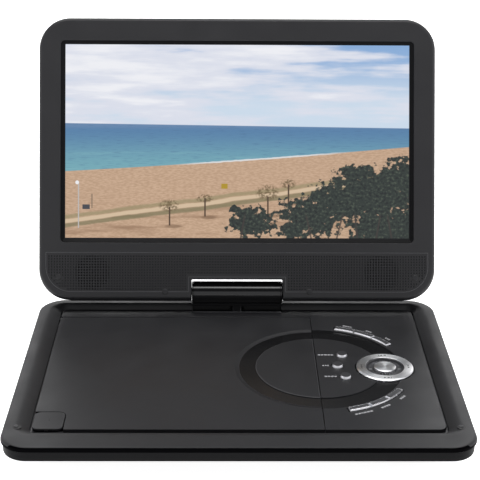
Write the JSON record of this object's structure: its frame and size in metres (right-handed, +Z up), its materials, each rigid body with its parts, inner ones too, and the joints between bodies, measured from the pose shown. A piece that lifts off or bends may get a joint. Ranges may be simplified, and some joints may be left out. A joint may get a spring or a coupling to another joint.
{
  "type": "portable dvd player",
  "caption": "Clamshell disc player with a tilting, swivelling screen lid, a hinged disc lid, a key panel and side sockets.",
  "frame": {"origin": "on the table, under the middle of the open player's bounding box", "axes": "+Z up, +X to the viewer's right, the viewer at -Y; the screen lid stands at the rear and leans back 22 degrees"},
  "size_m": [0.256, 0.2518, 0.1974],
  "materials": {
    "rim_plastic": "satin, finely textured",
    "lower_plastic": "matte",
    "deck_plastic": "soft matte with a moulded ring",
    "gloss_black": "polished",
    "lid_plastic": "satin, finely textured",
    "rubber": "matte",
    "steel": "plain sheet",
    "screw_steel": "zinc plated",
    "silver_keys": "spun and brushed lacquer",
    "dark_keys": "satin top with a bright edge",
    "battery_wrap": "shrink sleeve",
    "board": "solder mask",
    "chip": "moulded resin",
    "socket_black": "moulded",
    "socket_yellow": "moulded",
    "socket_metal": "stamped",
    "bush": "acetal",
    "hub": "moulded with a rubber ring",
    "pickup": "die cast",
    "lens": "coated",
    "brass": "turned",
    "chrome": "polished",
    "dark_chrome": "dark plated",
    "screen": "lit picture behind a low-gloss polariser",
    "backlight": "reflective film and frame",
    "cone": "pressed paper cone"
  },
  "bodies": {
    "base": {"base_bottom_shell": "lower_plastic", "base_top_shell": "rim_plastic", "key_panel": "deck_plastic", "hinge_plate": "gloss_black", "rubber_feet": "rubber", "base_screws": "screw_steel", "rim_bumpers": "rubber", "battery_pack": "battery_wrap", "main_board": "board", "board_chips": "chip", "button_board": "board", "tact_switches": "chip", "dc_jack": "socket_black", "headphone_jack": "socket_black", "av_jack": "socket_yellow", "usb_port": "socket_metal", "card_slot": "socket_metal", "switch_body": "socket_black", "loader_chassis": "steel", "loader_dampers": "rubber", "spindle_motor": "steel", "guide_rods": "screw_steel", "sled_motor": "steel", "swivel_bush": "bush"},
    "disc_lid": {"disc_lid": "deck_plastic"},
    "open_button": {"open_button": "deck_plastic"},
    "latch_slider": {"latch_slider": "bush"},
    "setup_button": {"setup_button": "dark_keys"},
    "display_button": {"display_button": "dark_keys"},
    "menu_button": {"menu_button": "dark_keys"},
    "nav_ring": {"nav_ring": "silver_keys"},
    "centre_button": {"centre_button": "silver_keys"},
    "upper_key_1": {"upper_key_1": "silver_keys"},
    "upper_key_2": {"upper_key_2": "silver_keys"},
    "upper_key_3": {"upper_key_3": "silver_keys"},
    "lower_key_1": {"lower_key_1": "silver_keys"},
    "lower_key_2": {"lower_key_2": "silver_keys"},
    "lower_key_3": {"lower_key_3": "silver_keys"},
    "power_switch": {"power_switch": "socket_black"},
    "spindle_hub": {"spindle_hub": "hub"},
    "optical_pickup": {"optical_pickup": "pickup", "pickup_lens": "lens"},
    "lead_screw": {"lead_screw": "brass"},
    "swivel": {"swivel_post": "socket_black", "hinge_bracket": "steel", "hinge_barrel": "dark_chrome", "barrel_end_caps": "chrome"},
    "screen_lid": {"lid_back_shell": "lid_plastic", "lid_bezel": "lid_plastic", "lcd_panel": "screen", "backlight": "backlight", "display_board": "board", "speaker_grilles": "lid_plastic", "speakers": "steel", "speaker_cones": "cone", "lid_screws": "screw_steel", "screw_caps": "lid_plastic", "hinge_arm_left": "steel", "hinge_arm_right": "steel"}
  },
  "joints": [
    {"name": "disc_lid_hinge", "type": "hinge", "parent": "base", "child": "disc_lid", "pos_m": [0, 0.03989, 0.0165], "axis": [-1, 0, 0], "range_deg": [0, 55]},
    {"name": "open_button_press", "type": "slide", "parent": "base", "child": "open_button", "axis": [0, 0, -1], "range_m": [0, 0.0009], "stiffness_N_per_m": 900},
    {"name": "latch_slide", "type": "slide", "parent": "base", "child": "latch_slider", "axis": [-1, 0, 0], "range_m": [0, 0.0009]},
    {"name": "setup_button_press", "type": "slide", "parent": "base", "child": "setup_button", "axis": [0, 0, -1], "range_m": [0, 0.0005], "stiffness_N_per_m": 700},
    {"name": "display_button_press", "type": "slide", "parent": "base", "child": "display_button", "axis": [0, 0, -1], "range_m": [0, 0.0005], "stiffness_N_per_m": 700},
    {"name": "menu_button_press", "type": "slide", "parent": "base", "child": "menu_button", "axis": [0, 0, -1], "range_m": [0, 0.0005], "stiffness_N_per_m": 700},
    {"name": "nav_ring_press", "type": "slide", "parent": "base", "child": "nav_ring", "axis": [0, 0, -1], "range_m": [0, 0.0004], "stiffness_N_per_m": 1200},
    {"name": "centre_button_press", "type": "slide", "parent": "base", "child": "centre_button", "axis": [0, 0, -1], "range_m": [0, 0.0005], "stiffness_N_per_m": 700},
    {"name": "upper_key_1_press", "type": "slide", "parent": "base", "child": "upper_key_1", "axis": [0, 0, -1], "range_m": [0, 0.0004], "stiffness_N_per_m": 700},
    {"name": "upper_key_2_press", "type": "slide", "parent": "base", "child": "upper_key_2", "axis": [0, 0, -1], "range_m": [0, 0.0004], "stiffness_N_per_m": 700},
    {"name": "upper_key_3_press", "type": "slide", "parent": "base", "child": "upper_key_3", "axis": [0, 0, -1], "range_m": [0, 0.0004], "stiffness_N_per_m": 700},
    {"name": "lower_key_1_press", "type": "slide", "parent": "base", "child": "lower_key_1", "axis": [0, 0, -1], "range_m": [0, 0.0004], "stiffness_N_per_m": 700},
    {"name": "lower_key_2_press", "type": "slide", "parent": "base", "child": "lower_key_2", "axis": [0, 0, -1], "range_m": [0, 0.0004], "stiffness_N_per_m": 700},
    {"name": "lower_key_3_press", "type": "slide", "parent": "base", "child": "lower_key_3", "axis": [0, 0, -1], "range_m": [0, 0.0004], "stiffness_N_per_m": 700},
    {"name": "power_switch_slide", "type": "slide", "parent": "base", "child": "power_switch", "axis": [0, 1, 0], "range_m": [0, 0.0032]},
    {"name": "spindle_spin", "type": "hinge", "parent": "base", "child": "spindle_hub", "pos_m": [-0.033, -0.02741, 0.012], "axis": [0, 0, 1], "continuous": true},
    {"name": "pickup_slide", "type": "slide", "parent": "base", "child": "optical_pickup", "axis": [0, -1, 0], "range_m": [0, 0.032]},
    {"name": "lead_screw_spin", "type": "hinge", "parent": "base", "child": "lead_screw", "pos_m": [-0.061, -0.06591, 0.0084], "axis": [0, 1, 0], "range_deg": [-5, 3900]},
    {"name": "swivel", "type": "hinge", "parent": "base", "child": "swivel", "pos_m": [0, 0.05359, 0.0312], "axis": [0, 0, 1], "range_deg": [-90, 180]},
    {"name": "lid_tilt", "type": "hinge", "parent": "swivel", "child": "screen_lid", "pos_m": [0, 0.05359, 0.0312], "axis": [1, 0, 0], "range_deg": [-68, 112]}
  ],
  "couplings": [
    {"joint": "latch_slide", "follows": "open_button_press", "ratio": 1},
    {"joint": "lead_screw_spin", "follows": "pickup_slide", "rad_per_m": 2094.4}
  ]
}
